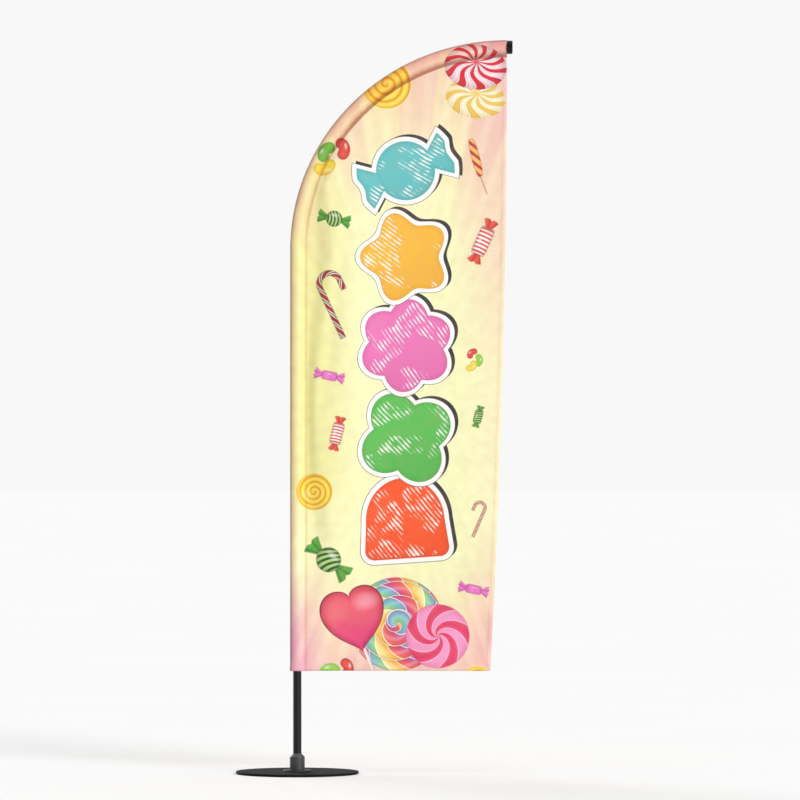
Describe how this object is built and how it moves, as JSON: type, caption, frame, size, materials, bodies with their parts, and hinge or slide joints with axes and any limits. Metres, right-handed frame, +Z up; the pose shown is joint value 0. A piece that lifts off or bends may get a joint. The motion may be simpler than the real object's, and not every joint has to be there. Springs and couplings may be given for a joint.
{
  "type": "feather flag with pole",
  "caption": "Feather flag on a bent pole: a printed cloth sail with a sleeve over a sectioned pole, standing on a round weighted foot with a turning ball-bearing collar.",
  "frame": {"origin": "centre of the foot's underside, on the vertical axis that the pole and flag turn about", "axes": "+Z up along the pole; +X from the pole towards the flag's free edge and the pole's tip; +Y away from the side the print is first seen from"},
  "size_m": [0.8663, 0.385, 2.2965],
  "materials": {
    "pad_rubber": "matt, fine ribbed rubber",
    "plate_paint": "black powder coat, satin",
    "flange_paint": "black powder coat, satin",
    "zinc_screw": "black-zinc plated screws, dull",
    "bright_steel": "ground bearing steel",
    "ball_steel": "polished bearing balls",
    "zinc_steel": "zinc plated",
    "cage_plastic": "natural moulded nylon",
    "collar_paint": "dark grey satin coat over steel",
    "spigot_metal": "drawn aluminium, clear",
    "tube_black": "black anodised aluminium, satin",
    "ferrule_metal": "turned aluminium",
    "rod_fibre": "black glass-fibre rod, wound, slight sheen",
    "cap_gloss": "glossy moulded black plastic",
    "hook_plastic": "moulded black nylon",
    "webbing": "black woven webbing",
    "flag_cloth": "printed knitted polyester, light sheen",
    "sleeve_cloth": "printed knitted polyester, light sheen"
  },
  "bodies": {
    "base": {"non_slip_pad": "pad_rubber", "base_plate": "plate_paint", "spindle_flange": "flange_paint", "flange_screw_1": "zinc_screw", "flange_screw_2": "zinc_screw", "flange_screw_3": "zinc_screw", "flange_screw_4": "zinc_screw", "spindle": "bright_steel", "spindle_washer": "zinc_steel", "lock_nut": "zinc_steel", "inner_spacer": "bright_steel", "lower_inner_race": "bright_steel", "upper_inner_race": "bright_steel"},
    "rotor": {"collar": "collar_paint", "spigot": "spigot_metal", "lower_outer_race": "bright_steel", "upper_outer_race": "bright_steel", "outer_spacer": "bright_steel", "dust_seal": "pad_rubber", "retaining_ring": "zinc_steel"},
    "lower_cage": {"lower_cage": "cage_plastic", "lower_ball_1": "ball_steel", "lower_ball_2": "ball_steel", "lower_ball_3": "ball_steel", "lower_ball_4": "ball_steel", "lower_ball_5": "ball_steel", "lower_ball_6": "ball_steel", "lower_ball_7": "ball_steel"},
    "upper_cage": {"upper_cage": "cage_plastic", "upper_ball_1": "ball_steel", "upper_ball_2": "ball_steel", "upper_ball_3": "ball_steel", "upper_ball_4": "ball_steel", "upper_ball_5": "ball_steel", "upper_ball_6": "ball_steel", "upper_ball_7": "ball_steel"},
    "pole": {"lower_tube": "tube_black", "lower_ferrule": "ferrule_metal", "middle_tube": "tube_black", "upper_ferrule": "ferrule_metal", "top_rod": "rod_fibre", "tip_cap": "cap_gloss", "sleeve": "sleeve_cloth", "flag_panel": "flag_cloth", "tension_hook": "hook_plastic", "hook_rivet": "zinc_steel", "tension_tab": "webbing"}
  },
  "joints": [
    {"name": "rotor_spin", "type": "hinge", "parent": "base", "child": "rotor", "pos_m": [0, 0, 0], "axis": [0, 0, 1], "continuous": true},
    {"name": "lower_cage_spin", "type": "hinge", "parent": "base", "child": "lower_cage", "pos_m": [0, 0, 0], "axis": [0, 0, 1], "continuous": true},
    {"name": "upper_cage_spin", "type": "hinge", "parent": "base", "child": "upper_cage", "pos_m": [0, 0, 0], "axis": [0, 0, 1], "continuous": true},
    {"name": "pole_lift", "type": "slide", "parent": "rotor", "child": "pole", "axis": [0, 0, 1], "range_m": [0, 0.16]}
  ],
  "couplings": [
    {"joint": "lower_cage_spin", "follows": "rotor_spin", "ratio": 0.63514},
    {"joint": "upper_cage_spin", "follows": "rotor_spin", "ratio": 0.63514}
  ]
}
